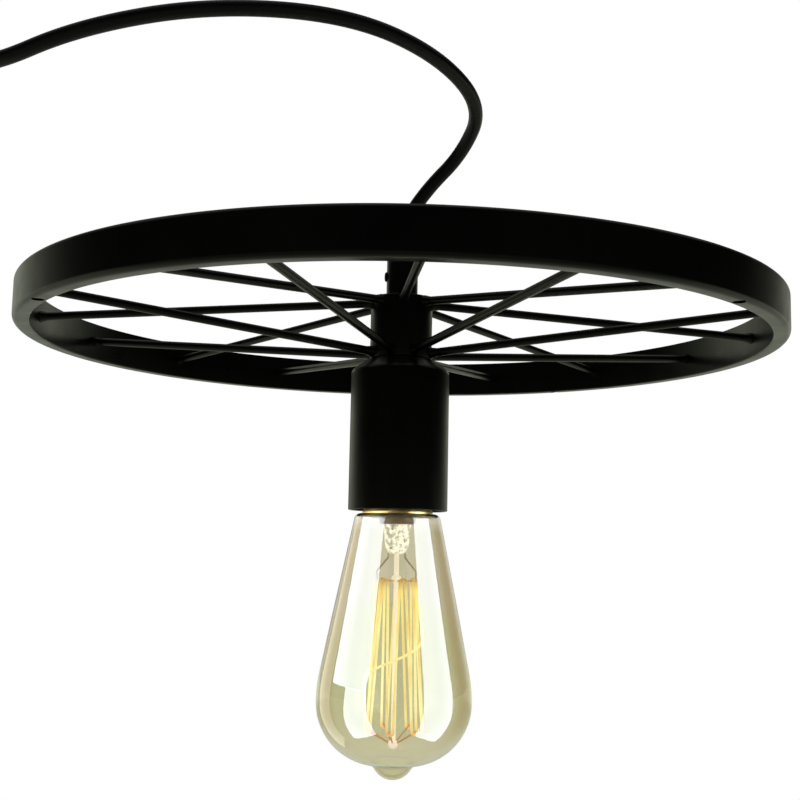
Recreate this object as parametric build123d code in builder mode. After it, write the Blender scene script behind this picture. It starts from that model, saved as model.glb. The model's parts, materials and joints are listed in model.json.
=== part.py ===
from build123d import *
import os
from math import atan2, cos, degrees, hypot, pi, radians, sin, tan

os.makedirs("parts", exist_ok=True)

# A pendant light: a spoked wheel hanging bulb-down on a round flex from a ceiling rose.
# Millimetres, +Z up, origin on the ceiling at the middle of the rose.

# General clearances
seat_gap = 0.05
thread_gap = 0.1
running_gap = 0.3

# Wheel
drop = 310
rim_diameter = 302
rim_height = 16
rim_thickness = 6.4
rim_wall = 1.2
rim_outer_edge = 2.0
rim_inner_edge = 0.5
vent_hole_diameter = 4.4
vent_hole_angles = (54.8, 209.8, 314.8)
spokes_per_layer = 8
spoke_diameter = 3.3
spoke_inset = 2.3
weld_diameter = 4.6
weld_length = 3
hub_diameter = 25
hub_height = 25
hub_wall = 2
hub_offset = -0.7
hub_disc_thickness = 2.5

# Flex and its grips
cord_diameter = 5.5
core_diameter = 2.0
core_spacing = 2.6
core_bend = 3.0
grip_diameter = 12.7
grip_height = 17.2
grip_edge = 1.5
grip_bore_gap = 0.45
grip_mouth_diameter = 9
grip_mouth_depth = 5
grip_screw_diameter = 4
grip_screw_height = 9
grip_screw_proud = 0.9
nipple_diameter = 10
nipple_bore = 7
nipple_in_grip = 5
nut_flats = 14
nut_height = 3.5

# Lampholder
cup_diameter = 39.6
cup_height = 61
cup_wall = 1.0
cup_shoulder = 5
cup_edge = 3
washer_diameter = 19
washer_thickness = 1
holder_gap = 0.6
holder_cap_diameter = 34.4
holder_cap_wall = 2
holder_cap_dome = 7
holder_boss_diameter = 17
holder_boss_share = 0.49
holder_diameter = 36.4
holder_inset = 1.7
shell_diameter = 28.6
shell_wall = 0.8
shell_inset = 2.5
shell_hole = 14
holder_ledge = 0.8
block_height = 8.5
block_raise = 1
contact_width = 6
contact_thickness = 0.6
contact_length = 11
contact_drop = 2.05
terminal_spacing = 19
terminal_screw_diameter = 3
terminal_screw_length = 6
terminal_head_diameter = 5.5
terminal_head_height = 2

# Bulb
lamp_cap_diameter = 26.4
lamp_cap_wall = 0.5
lamp_cap_edge = 28
lamp_cap_edge_height = 1
lamp_cap_shoulder = 3.4
lamp_cap_mouth = 21.6
lamp_cap_length = 20.6
lamp_cap_drop = 1.3
insulator_height = 4
insulator_top = 10.4
contact_button_diameter = 9.2
contact_button_height = 1.6
contact_stem_diameter = 6
contact_stem_height = 1.8
glass_wall = 0.8
glass_neck_diameter = 25
glass_neck_height = 9
glass_shoulder_diameter = 35.4
glass_shoulder_drop = 4.5
glass_diameter = 61
glass_widest_drop = 73
glass_widest_arc = 12
glass_dome_share = 0.787
glass_dome_angle = 84
glass_tip_diameter = 14
glass_tip_drop = 2.1
glass_tip_length = 3.8
glass_tip_fillet = 2
exhaust_diameter = 6
stem_flange_diameter = 20
stem_flange_height = 1.2
stem_diameter = 14.4
stem_wall = 1.2
stem_height = 11.2
press_width = 10
press_thickness = 4
press_height = 11.5
rod_diameter = 2
cage_top_drop = 25.7
cage_height = 58.8
cage_top_diameter = 15.6
cage_base_diameter = 22.8
filament_diameter = 0.8
filament_loops = 7
filament_start_angle = 183
filament_bend = 1.0
filament_bend_width = 2.3
filament_wrap_gap = 1.7
filament_wrap_from = 0.643
filament_wrap_to = 0.388
filament_wrap_steps = 6
support_diameter = 0.6
support_reach = 1.0
support_slope = 5
support_bead_diameter = 4
support_bead_height = 3
lead_diameter = 0.8

# Ceiling rose
rose_diameter = 100
rose_depth = 25
rose_wall = 1.0
rose_edge = 6
rose_grip_height = 20
rose_stud_height = 5.5
strap_length = 88
strap_width = 16
strap_thickness = 1.5
ceiling_screw_spacing = 51
ceiling_screw_hole = 4.5
stud_spacing = 72
stud_diameter = 4
stud_length = 28
stud_gap = 0.2
cap_nut_flats = 7
cap_nut_height = 3.5
cap_nut_dome = 3.2
block_size = (20, 12, 8)
block_poles = 10
block_hole = 3.2
block_screw_diameter = 2.8
rose_core_rise = 5.5
rose_core_reach = 7

# Levels that follow from the sizes above
wheel_z = -drop
rim_radius = rim_diameter / 2
rim_inner_radius = rim_radius - rim_thickness
hub_radius = hub_diameter / 2
hub_top = wheel_z + hub_offset + hub_height / 2
hub_base = hub_top - hub_height
nipple_hole_radius = nipple_diameter / 2 + thread_gap
nipple_thread_radius = nipple_diameter / 2 + seat_gap
cord_radius = cord_diameter / 2
cord_bore_radius = cord_radius + grip_bore_gap
grip_top = hub_top + grip_height
nipple_top = hub_top + nipple_in_grip
cup_radius = cup_diameter / 2
cup_top = hub_base
cup_base = cup_top - cup_height
washer_top = cup_top - cup_wall
nut_top = washer_top - washer_thickness
nut_base = nut_top - nut_height
lamp_cap_base = cup_base - lamp_cap_drop
lamp_cap_top = lamp_cap_base + lamp_cap_length
button_base = lamp_cap_top + insulator_height + seat_gap
button_top = button_base + contact_button_height
block_base = button_top + running_gap + contact_drop
block_top = block_base + block_height
holder_base = cup_base + holder_inset
holder_joint = block_top + block_raise
holder_top = nut_base - holder_gap
holder_cap_height = holder_top - holder_joint
holder_boss_height = holder_boss_share * holder_cap_height
nipple_base = holder_top - holder_boss_height
shell_base = holder_base + shell_inset
shell_radius = shell_diameter / 2
shell_bore_radius = shell_radius + 4 * seat_gap
cage_top = lamp_cap_base - cage_top_drop
cage_base = cage_top - cage_height
rose_base = -rose_depth
rose_mouth = rose_base - rose_grip_height
rose_stud_top = rose_base + rose_stud_height

# Route of the flex, from the rose down to the wheel: by height under the ceiling, then over the wheel
cord_meets_rose = rose_mouth + grip_mouth_depth / 2
cord_meets_grip = grip_top - grip_mouth_depth / 2
route_below_ceiling = [
    (0, 0, cord_meets_rose),
    (0, 0, -69),
    (-5, 0.5, -94),
    (-24, 1.5, -115),
    (-56, 1, -127),
    (-95, 0.5, -136),
    (-134.5, -2.5, -150),
    (-167, -12.5, -174),
]
route_over_wheel = [
    (-182, -34, 106),
    (-174, -62.5, 80),
    (-149, -82, 71),
    (-115.5, -92.5, 81),
    (-71.5, -96, 89),
    (-25, -85.5, 93),
    (8.5, -61.5, 90),
    (28, -32.5, 82),
    (22.5, -11.5, 70),
    (9.5, -5.5, 56.5),
    (0, 0, 43),
]
cord_route = [Vector(point) for point in route_below_ceiling]
cord_route += [Vector(x, y, wheel_z + height) for x, y, height in route_over_wheel]
cord_route += [Vector(0, 0, cord_meets_grip)]


def route_radii(points):
    """Radius at each corner, as large as the two runs beside it allow."""
    radii = []
    for before, corner, after in zip(points, points[1:], points[2:]):
        arriving = corner - before
        leaving = after - corner
        half_turn = radians(arriving.get_angle(leaving)) / 2
        radii.append(0.45 * min(arriving.length, leaving.length) / tan(half_turn))
    return radii


def ring(radius, angle, height):
    """Point on a circle about the drop axis."""
    return Vector(radius * cos(radians(angle)), radius * sin(radians(angle)), height)


# Ceiling strap: flat steel bar with the two ceiling-screw holes
with BuildPart() as strap:
    with BuildSketch():
        SlotOverall(strap_length, strap_width)
        with GridLocations(ceiling_screw_spacing, 0, 2, 1):
            Circle(ceiling_screw_hole / 2, mode=Mode.SUBTRACT)
    extrude(amount=-strap_thickness)
strap.part.label = "ceiling_strap"
export_step(strap.part, "parts/ceiling_strap.step")

# Two studs under the strap, which carry the cover
with BuildPart() as studs:
    with BuildSketch(Plane.XY.offset(-strap_thickness)):
        with GridLocations(stud_spacing, 0, 2, 1):
            Circle(stud_diameter / 2)
    extrude(amount=-stud_length)
    chamfer(studs.faces().sort_by(Axis.Z)[0].edges(), stud_diameter / 10)
    chamfer(studs.faces().sort_by(Axis.Z)[0].edges(), stud_diameter / 10)
studs.part.label = "strap_studs"
export_step(studs.part, "parts/strap_studs.step")

# Terminal block under the middle of the strap, with a wire hole and a screw hole for each pole
block_floor = -strap_thickness - block_size[2]
block_wire_z = -strap_thickness - block_size[2] / 2
with BuildPart() as terminal_block:
    with BuildSketch(Plane.XY.offset(-strap_thickness)):
        RectangleRounded(block_size[0], block_size[1], 1)
    extrude(amount=-block_size[2])
    with BuildSketch(Plane.XZ.offset(block_size[1] / 2)):
        with Locations((0, block_wire_z)):
            with GridLocations(block_poles, 0, 2, 1):
                Circle(block_hole / 2)
    extrude(amount=-block_size[1], mode=Mode.SUBTRACT)
    with BuildSketch(Plane.XY.offset(block_floor)):
        with GridLocations(block_poles, 0, 2, 1):
            Circle(block_screw_diameter / 2 + thread_gap)
    extrude(amount=block_size[2] / 2, mode=Mode.SUBTRACT)
terminal_block.part.label = "terminal_block"
export_step(terminal_block.part, "parts/terminal_block.step")

block_screw_top = block_wire_z - core_diameter / 2 - thread_gap
with BuildPart() as block_screws:
    with BuildSketch(Plane.XY.offset(block_floor)):
        with GridLocations(block_poles, 0, 2, 1):
            Circle(block_screw_diameter / 2)
    extrude(amount=block_screw_top - block_floor)
    with BuildSketch(Plane.XY.offset(block_floor)):
        with GridLocations(block_poles, 0, 2, 1):
            Rectangle(block_screw_diameter, block_screw_diameter / 5)
    extrude(amount=block_screw_diameter / 5, mode=Mode.SUBTRACT)
block_screws.part.label = "block_screws"
export_step(block_screws.part, "parts/block_screws.step")

# Sheathed end of the flex inside the rose grip
with BuildPart() as rose_cord_end:
    with BuildSketch(Plane.XY.offset(cord_meets_rose)):
        Circle(cord_radius)
    extrude(amount=rose_stud_top - cord_meets_rose)
rose_cord_end.part.label = "rose_cord_end"
export_step(rose_cord_end.part, "parts/rose_cord_end.step")

# The two cores, from the end of the sheath to the terminal block
for core_name, side in (("rose_live_core", 1), ("rose_neutral_core", -1)):
    core_x = side * core_spacing / 2
    pole_x = side * block_poles / 2
    bend_y = -block_size[1] / 2 - rose_core_reach
    core_points = [
        (core_x, 0, rose_stud_top),
        (core_x, 0, rose_stud_top + rose_core_rise),
        (pole_x, bend_y, rose_stud_top + rose_core_rise),
        (pole_x, bend_y, block_wire_z),
        (pole_x, -block_size[1] / 4, block_wire_z),
    ]
    with BuildPart() as rose_core:
        with BuildLine():
            FilletPolyline(*core_points, radius=core_bend)
        with BuildSketch(Plane.XY.offset(rose_stud_top)):
            with Locations((core_x, 0)):
                Circle(core_diameter / 2)
        sweep()
    rose_core.part.label = core_name
    export_step(rose_core.part, f"parts/{core_name}.step")

# Flex: round sheathed cord of straight runs and tangent arcs
cord_radii = route_radii(cord_route)
print("cord radii", [round(radius, 1) for radius in cord_radii])
with BuildPart() as cord:
    with BuildLine():
        cord_path = FilletPolyline(*cord_route, radius=cord_radii)
    with BuildSketch(Plane(origin=cord_route[0], z_dir=cord_route[1] - cord_route[0])):
        Circle(cord_radius)
    sweep()
cord.part.label = "cord"
export_step(cord.part, "parts/cord.step")
cord_length = cord_path.length
print("cord length", round(cord_length, 1))
print("cord volume over section times length", round(cord.part.volume / (pi * cord_radius**2 * cord_length), 5))

# Rose cover: spun steel cup with holes for the grip and the studs
with BuildPart() as cover:
    with BuildSketch(Plane.XY.offset(rose_base)):
        Circle(rose_diameter / 2)
    extrude(amount=rose_depth)
    fillet(cover.faces().sort_by(Axis.Z)[0].edges(), rose_edge)
    offset(amount=-rose_wall, openings=cover.faces().sort_by(Axis.Z)[-1])
    with BuildSketch(Plane.XY.offset(rose_base)):
        Circle(nipple_hole_radius)
        with GridLocations(stud_spacing, 0, 2, 1):
            Circle(stud_diameter / 2 + running_gap)
    extrude(amount=2 * rose_wall, mode=Mode.SUBTRACT)
cover.part.label = "rose_cover"
export_step(cover.part, "parts/rose_cover.step")

# Rose grip: bell-mouthed body under the cover, hollow stud through it
with BuildPart() as rose_grip:
    with BuildSketch(Plane.XY.offset(rose_base)):
        Circle(grip_diameter / 2)
    extrude(amount=-rose_grip_height)
    fillet(rose_grip.faces().sort_by(Axis.Z)[0].edges(), grip_edge)
    with BuildSketch(Plane.XY.offset(rose_base)):
        Circle(nipple_diameter / 2)
    extrude(amount=rose_stud_height)
    with BuildSketch(Plane.XY.offset(rose_mouth)):
        Circle(cord_bore_radius)
    extrude(amount=rose_stud_top - rose_mouth, mode=Mode.SUBTRACT)
    with BuildSketch(Plane.XY.offset(rose_mouth)):
        Circle(grip_mouth_diameter / 2)
    with BuildSketch(Plane.XY.offset(rose_mouth + grip_mouth_depth)):
        Circle(cord_bore_radius)
    loft(mode=Mode.SUBTRACT)
    with BuildSketch(Plane.YZ):
        with Locations((0, rose_base - grip_screw_height)):
            Circle(grip_screw_diameter / 2 + seat_gap)
    extrude(amount=-grip_diameter, mode=Mode.SUBTRACT)
rose_grip.part.label = "rose_grip"
export_step(rose_grip.part, "parts/rose_grip.step")

with BuildPart() as rose_nut:
    with BuildSketch(Plane.XY.offset(rose_base + rose_wall)):
        RegularPolygon(nut_flats / 2, 6, major_radius=False)
        Circle(nipple_thread_radius, mode=Mode.SUBTRACT)
    extrude(amount=nut_height)
rose_nut.part.label = "rose_grip_nut"
export_step(rose_nut.part, "parts/rose_grip_nut.step")

# Slotted clamp screw of each grip, pointing at the flex
grip_screws = (("rose_grip_screw", rose_base - grip_screw_height), ("grip_screw", hub_top + grip_screw_height))
for screw_name, screw_z in grip_screws:
    screw_end = grip_diameter / 2 + grip_screw_proud
    with BuildPart() as clamp_screw:
        with BuildSketch(Plane.YZ.offset(-cord_radius - running_gap)):
            with Locations((0, screw_z)):
                Circle(grip_screw_diameter / 2)
        extrude(amount=cord_radius + running_gap - screw_end)
        with BuildSketch(Plane.YZ.offset(-screw_end)):
            with Locations((0, screw_z)):
                Rectangle(grip_screw_diameter, grip_screw_diameter / 5)
        extrude(amount=grip_screw_diameter / 4, mode=Mode.SUBTRACT)
    clamp_screw.part.label = screw_name
    export_step(clamp_screw.part, f"parts/{screw_name}.step")

# Domed cap nuts under the cover, on the studs
stud_end = -strap_thickness - stud_length
with BuildPart() as cap_nuts:
    with GridLocations(stud_spacing, 0, 2, 1):
        with Locations((0, 0, rose_base - cap_nut_height)):
            Sphere(cap_nut_dome)
    with BuildSketch(Plane.XY.offset(rose_base)):
        with GridLocations(stud_spacing, 0, 2, 1):
            RegularPolygon(cap_nut_flats / 2, 6, major_radius=False)
    extrude(amount=-cap_nut_height)
    with BuildSketch(Plane.XY.offset(stud_end - stud_gap)):
        with GridLocations(stud_spacing, 0, 2, 1):
            Circle(stud_diameter / 2 + stud_gap)
    extrude(amount=rose_base - stud_end + stud_gap, mode=Mode.SUBTRACT)
cap_nuts.part.label = "cap_nuts"
export_step(cap_nuts.part, "parts/cap_nuts.step")

# Wheel rim: rolled rectangular tube with vent holes in its underside
with BuildPart() as rim:
    with BuildSketch(Plane.XZ) as rim_section:
        with Locations((rim_radius - rim_thickness / 2, wheel_z)):
            Rectangle(rim_thickness, rim_height)
        fillet(rim_section.vertices().group_by(Axis.X)[-1], rim_outer_edge)
        fillet(rim_section.vertices().group_by(Axis.X)[0], rim_inner_edge)
        with Locations((rim_radius - rim_thickness / 2, wheel_z)):
            Rectangle(rim_thickness - 2 * rim_wall, rim_height - 2 * rim_wall, mode=Mode.SUBTRACT)
    revolve(axis=Axis.Z)
    with BuildSketch(Plane.XY.offset(wheel_z - rim_height / 2)):
        for vent_angle in vent_hole_angles:
            with PolarLocations(rim_radius - rim_thickness / 2, 1, start_angle=vent_angle):
                Circle(vent_hole_diameter / 2)
    extrude(amount=1.5 * rim_wall, mode=Mode.SUBTRACT)
rim.part.label = "wheel_rim"
export_step(rim.part, "parts/wheel_rim.step")

# Spokes: straight rods welded between the hub and the rim, in an upper and a lower layer half a step apart
spoke_step = 360 / spokes_per_layer
spoke_layers = (("upper", hub_top - spoke_inset, 0), ("lower", hub_base + spoke_inset, spoke_step / 2))
for layer_name, hub_z, layer_angle in spoke_layers:
    for number in range(spokes_per_layer):
        spoke_name = f"{layer_name}_spoke_{number + 1}"
        angle = layer_angle + number * spoke_step
        start = ring(hub_radius, angle, hub_z)
        end = ring(rim_inner_radius, angle, wheel_z)
        length = (end - start).length
        side = ring(1, angle + 90, 0)
        overrun = weld_length
        with BuildPart() as spoke:
            with BuildSketch(Plane(origin=start, x_dir=end - start, z_dir=side)):
                with BuildLine():
                    Polyline(
                        (-overrun, 0),
                        (-overrun, weld_diameter - spoke_diameter / 2),
                        (weld_length, spoke_diameter / 2),
                        (length - weld_length, spoke_diameter / 2),
                        (length + overrun, weld_diameter - spoke_diameter / 2),
                        (length + overrun, 0),
                        close=True,
                    )
                make_face()
            revolve(axis=Axis(start, end - start))
            with BuildSketch(Plane.XY.offset(hub_base + seat_gap)):
                Circle(rim_inner_radius - seat_gap)
                Circle(hub_radius + seat_gap, mode=Mode.SUBTRACT)
            extrude(amount=hub_height - 2 * seat_gap, mode=Mode.INTERSECT)
        spoke.part.label = spoke_name
        export_step(spoke.part, f"parts/{spoke_name}.step")

# Hub: tube with a disc let into each end
with BuildPart() as hub:
    with BuildSketch(Plane.XY.offset(hub_base)):
        Circle(hub_radius)
        Circle(hub_radius - hub_wall, mode=Mode.SUBTRACT)
    extrude(amount=hub_height)
hub.part.label = "hub_tube"
export_step(hub.part, "parts/hub_tube.step")

for disc_name, disc_z in (("hub_top_disc", hub_top - hub_disc_thickness), ("hub_bottom_disc", hub_base)):
    with BuildPart() as disc:
        with BuildSketch(Plane.XY.offset(disc_z)):
            Circle(hub_radius - hub_wall - seat_gap)
            Circle(nipple_hole_radius, mode=Mode.SUBTRACT)
        extrude(amount=hub_disc_thickness)
    disc.part.label = disc_name
    export_step(disc.part, f"parts/{disc_name}.step")

# Threaded nipple: hollow rod that ties grip, hub, cup and lampholder together
with BuildPart() as nipple:
    with BuildSketch(Plane.XY.offset(nipple_base)):
        Circle(nipple_diameter / 2)
        Circle(nipple_bore / 2, mode=Mode.SUBTRACT)
    extrude(amount=nipple_top - nipple_base)
nipple.part.label = "threaded_nipple"
export_step(nipple.part, "parts/threaded_nipple.step")

# Cord grip on top of the hub
with BuildPart() as grip:
    with BuildSketch(Plane.XY.offset(hub_top)):
        Circle(grip_diameter / 2)
    extrude(amount=grip_height)
    fillet(grip.faces().sort_by(Axis.Z)[-1].edges(), grip_edge)
    with BuildSketch(Plane.XY.offset(hub_top)):
        Circle(nipple_thread_radius)
    extrude(amount=nipple_in_grip + seat_gap, mode=Mode.SUBTRACT)
    with BuildSketch(Plane.XY.offset(hub_top)):
        Circle(cord_bore_radius)
    extrude(amount=grip_height, mode=Mode.SUBTRACT)
    with BuildSketch(Plane.XY.offset(grip_top - grip_mouth_depth)):
        Circle(cord_bore_radius)
    with BuildSketch(Plane.XY.offset(grip_top)):
        Circle(grip_mouth_diameter / 2)
    loft(mode=Mode.SUBTRACT)
    with BuildSketch(Plane.YZ):
        with Locations((0, hub_top + grip_screw_height)):
            Circle(grip_screw_diameter / 2 + seat_gap)
    extrude(amount=-grip_diameter, mode=Mode.SUBTRACT)
grip.part.label = "cord_grip"
export_step(grip.part, "parts/cord_grip.step")

# Sheathed end of the flex through the grip and the nipple
sheath_end = nipple_base - seat_gap
with BuildPart() as cord_tail:
    with BuildSketch(Plane.XY.offset(sheath_end)):
        Circle(cord_radius)
    extrude(amount=cord_meets_grip - sheath_end)
cord_tail.part.label = "cord_tail"
export_step(cord_tail.part, "parts/cord_tail.step")

# Lampholder cup: spun tube with a sloping shoulder
with BuildPart() as cup:
    with BuildSketch(Plane.XZ) as cup_section:
        with BuildLine():
            Polyline(
                (0, cup_top),
                (hub_radius, cup_top),
                (cup_radius, cup_top - cup_shoulder),
                (cup_radius, cup_base - cup_wall),
                (0, cup_base - cup_wall),
                close=True,
            )
        make_face()
        mirror(about=Plane.YZ)
        shoulder_corners = cup_section.vertices().group_by(Axis.Y)
        fillet(shoulder_corners[-1] + shoulder_corners[-2], cup_edge)
        offset(amount=-cup_wall, mode=Mode.SUBTRACT)
        with Locations((0, cup_base)):
            Rectangle(cup_radius, cup_height, align=(Align.MIN, Align.MIN), mode=Mode.INTERSECT)
        with Locations((0, cup_top)):
            Rectangle(nipple_hole_radius, 2 * cup_wall, align=(Align.MIN, Align.CENTER), mode=Mode.SUBTRACT)
    revolve(axis=Axis.Z)
cup.part.label = "lampholder_cup"
export_step(cup.part, "parts/lampholder_cup.step")

with BuildPart() as washer:
    with BuildSketch(Plane.XY.offset(nut_top)):
        Circle(washer_diameter / 2)
        Circle(nipple_hole_radius, mode=Mode.SUBTRACT)
    extrude(amount=washer_thickness)
washer.part.label = "cup_washer"
export_step(washer.part, "parts/cup_washer.step")

with BuildPart() as locknut:
    with BuildSketch(Plane.XY.offset(nut_base)):
        RegularPolygon(nut_flats / 2, 6, major_radius=False)
        Circle(nipple_thread_radius, mode=Mode.SUBTRACT)
    extrude(amount=nut_height)
locknut.part.label = "cup_locknut"
export_step(locknut.part, "parts/cup_locknut.step")

# Holder cap: domed phenolic top with a threaded boss for the nipple
holder_cap_radius = holder_cap_diameter / 2
with BuildPart() as holder_cap:
    with BuildSketch(Plane.XY.offset(holder_joint)):
        Circle(holder_cap_radius)
    extrude(amount=holder_cap_height)
    fillet(holder_cap.faces().sort_by(Axis.Z)[-1].edges(), holder_cap_dome)
    offset(amount=-holder_cap_wall, openings=holder_cap.faces().sort_by(Axis.Z)[0])
    with BuildSketch(Plane.XY.offset(nipple_base)):
        Circle(holder_boss_diameter / 2)
    extrude(amount=holder_boss_height - holder_cap_wall / 2)
    with BuildSketch(Plane.XY.offset(nipple_base)):
        Circle(nipple_thread_radius)
    extrude(amount=holder_boss_height, mode=Mode.SUBTRACT)
holder_cap.part.label = "holder_cap"
export_step(holder_cap.part, "parts/holder_cap.step")

# Holder body: phenolic sleeve with a ledge for the contact block
with BuildPart() as holder_body:
    with BuildSketch(Plane.XY.offset(holder_base)):
        Circle(holder_diameter / 2)
    extrude(amount=holder_joint - holder_base)
    with BuildSketch(Plane.XY.offset(holder_base)):
        Circle(shell_bore_radius)
    extrude(amount=holder_joint - holder_base, mode=Mode.SUBTRACT)
    with BuildSketch(Plane.XY.offset(block_base)):
        Circle(shell_bore_radius + holder_ledge)
    extrude(amount=holder_joint - block_base, mode=Mode.SUBTRACT)
holder_body.part.label = "holder_body"
export_step(holder_body.part, "parts/holder_body.step")

# Contact block: ceramic disc with the two terminal holes
with BuildPart() as contact_block:
    with BuildSketch(Plane.XY.offset(block_base)):
        Circle(shell_bore_radius + holder_ledge - thread_gap)
    extrude(amount=block_height)
    with BuildSketch(Plane.XY.offset(block_top)):
        with GridLocations(terminal_spacing, 0, 2, 1):
            Circle(terminal_screw_diameter / 2 + thread_gap)
    extrude(amount=-terminal_screw_length - thread_gap, mode=Mode.SUBTRACT)
contact_block.part.label = "contact_block"
export_step(contact_block.part, "parts/contact_block.step")

with BuildPart() as terminal_screws:
    with BuildSketch(Plane.XY.offset(block_top)):
        with GridLocations(terminal_spacing, 0, 2, 1):
            Circle(terminal_screw_diameter / 2)
    extrude(amount=-terminal_screw_length)
    with BuildSketch(Plane.XY.offset(block_top)):
        with GridLocations(terminal_spacing, 0, 2, 1):
            Circle(terminal_head_diameter / 2)
    extrude(amount=terminal_head_height)
terminal_screws.part.label = "terminal_screws"
export_step(terminal_screws.part, "parts/terminal_screws.step")

# Cores inside the holder, from the end of the sheath to the terminal screws
terminal_top = block_top + terminal_head_height + seat_gap
core_turn = (sheath_end + terminal_top) / 2
holder_core_bend = 0.45 * (sheath_end - terminal_top)
for core_name, side in (("live_core", 1), ("neutral_core", -1)):
    core_x = side * core_spacing / 2
    pole_x = side * terminal_spacing / 2
    with BuildPart() as core:
        with BuildLine():
            FilletPolyline(
                (core_x, 0, sheath_end),
                (core_x, 0, core_turn),
                (pole_x, 0, core_turn),
                (pole_x, 0, terminal_top),
                radius=holder_core_bend,
            )
        with BuildSketch(Plane(origin=(core_x, 0, sheath_end), z_dir=(0, 0, -1))):
            Circle(core_diameter / 2)
        sweep()
    core.part.label = core_name
    export_step(core.part, f"parts/{core_name}.step")

# Screw shell: the metal sleeve that takes the lamp cap
with BuildPart() as shell:
    with BuildSketch(Plane.XY.offset(shell_base)):
        Circle(shell_radius)
    extrude(amount=block_base - shell_base)
    offset(amount=-shell_wall, openings=shell.faces().sort_by(Axis.Z)[0])
    with BuildSketch(Plane.XY.offset(block_base)):
        Circle(shell_hole / 2)
    extrude(amount=-2 * shell_wall, mode=Mode.SUBTRACT)
shell.part.label = "screw_shell"
export_step(shell.part, "parts/screw_shell.step")

# Centre contact: bent spring tongue under the contact block
contact_foot = contact_length / 3
with BuildPart() as centre_contact:
    with BuildSketch(Plane.XZ.offset(-contact_width / 2)):
        with BuildLine():
            Polyline(
                (-contact_length / 2, block_base),
                (contact_foot - contact_length / 2, block_base),
                (0, block_base - contact_drop + contact_thickness),
                (contact_foot, block_base - contact_drop + contact_thickness),
                (contact_foot, block_base - contact_drop),
                (-contact_thickness, block_base - contact_drop),
                (contact_foot - contact_length / 2 - contact_thickness, block_base - contact_thickness),
                (-contact_length / 2, block_base - contact_thickness),
                close=True,
            )
        make_face()
    extrude(amount=contact_width)
centre_contact.part.label = "centre_contact"
export_step(centre_contact.part, "parts/centre_contact.step")

# Bulb contact: the button at the end of the lamp cap
with BuildPart() as bulb_contact:
    with BuildSketch(Plane.XY.offset(button_base)):
        Circle(contact_button_diameter / 2)
    extrude(amount=contact_button_height)
    fillet(bulb_contact.faces().sort_by(Axis.Z)[-1].edges(), contact_button_height * 0.9)
    with BuildSketch(Plane.XY.offset(button_base - contact_stem_height)):
        Circle(contact_stem_diameter / 2)
    extrude(amount=contact_stem_height + contact_button_height / 2)
bulb_contact.part.label = "bulb_contact"
export_step(bulb_contact.part, "parts/bulb_contact.step")

# Lamp cap: drawn brass shell
cap_radius = lamp_cap_diameter / 2
with BuildPart() as lamp_cap:
    with BuildSketch(Plane.XZ) as lamp_cap_section:
        with BuildLine():
            Polyline(
                (0, lamp_cap_top),
                (lamp_cap_mouth / 2 + lamp_cap_wall, lamp_cap_top),
                (cap_radius, lamp_cap_top - lamp_cap_shoulder),
                (cap_radius, lamp_cap_base + 2 * lamp_cap_edge_height),
                (lamp_cap_edge / 2, lamp_cap_base + lamp_cap_edge_height),
                (lamp_cap_edge / 2, lamp_cap_base - lamp_cap_wall),
                (0, lamp_cap_base - lamp_cap_wall),
                close=True,
            )
        make_face()
        mirror(about=Plane.YZ)
        offset(amount=-lamp_cap_wall, mode=Mode.SUBTRACT)
        with Locations((0, lamp_cap_base)):
            Rectangle(lamp_cap_edge, lamp_cap_length, align=(Align.MIN, Align.MIN), mode=Mode.INTERSECT)
        with Locations((0, lamp_cap_top)):
            Rectangle(lamp_cap_mouth / 2, 2 * lamp_cap_shoulder, align=(Align.MIN, Align.CENTER), mode=Mode.SUBTRACT)
    revolve(axis=Axis.Z)
lamp_cap.part.label = "lamp_cap"
export_step(lamp_cap.part, "parts/lamp_cap.step")

# Insulator: black glass cone between the cap and the button
insulator_base = lamp_cap_top - lamp_cap_wall
with BuildPart() as insulator:
    with BuildSketch(Plane.XZ):
        with BuildLine():
            Polyline(
                (contact_stem_diameter / 2 + seat_gap, insulator_base),
                (lamp_cap_mouth / 2 - seat_gap, insulator_base),
                (lamp_cap_mouth / 2 - seat_gap, lamp_cap_top),
                (insulator_top / 2, lamp_cap_top + insulator_height),
                (contact_stem_diameter / 2 + seat_gap, lamp_cap_top + insulator_height),
                close=True,
            )
        make_face()
    revolve(axis=Axis.Z)
insulator.part.label = "bulb_insulator"
export_step(insulator.part, "parts/bulb_insulator.step")

# Bulb glass: blown teardrop, from the neck in the cap to the sealed tip
neck_radius = glass_neck_diameter / 2
neck_top = lamp_cap_base + glass_neck_height
shoulder_point = (glass_shoulder_diameter / 2, lamp_cap_base - glass_shoulder_drop)
widest_point = (glass_diameter / 2, lamp_cap_base - glass_widest_drop)
taper = atan2(glass_diameter / 2 - shoulder_point[0], glass_widest_drop - glass_shoulder_drop - glass_widest_arc / 2)
taper_end = (glass_diameter / 2 - glass_widest_arc * tan(taper / 2), widest_point[1] + glass_widest_arc)
glass_dome_radius = glass_dome_share * glass_diameter / 2
dome_centre = (widest_point[0] - glass_dome_radius, widest_point[1])
dome_end = (
    dome_centre[0] + glass_dome_radius * cos(radians(glass_dome_angle)),
    dome_centre[1] - glass_dome_radius * sin(radians(glass_dome_angle)),
)
tip_edge = (glass_tip_diameter / 2, dome_end[1] - glass_tip_drop)
tip_end = (0, tip_edge[1] - glass_tip_length)
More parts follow.
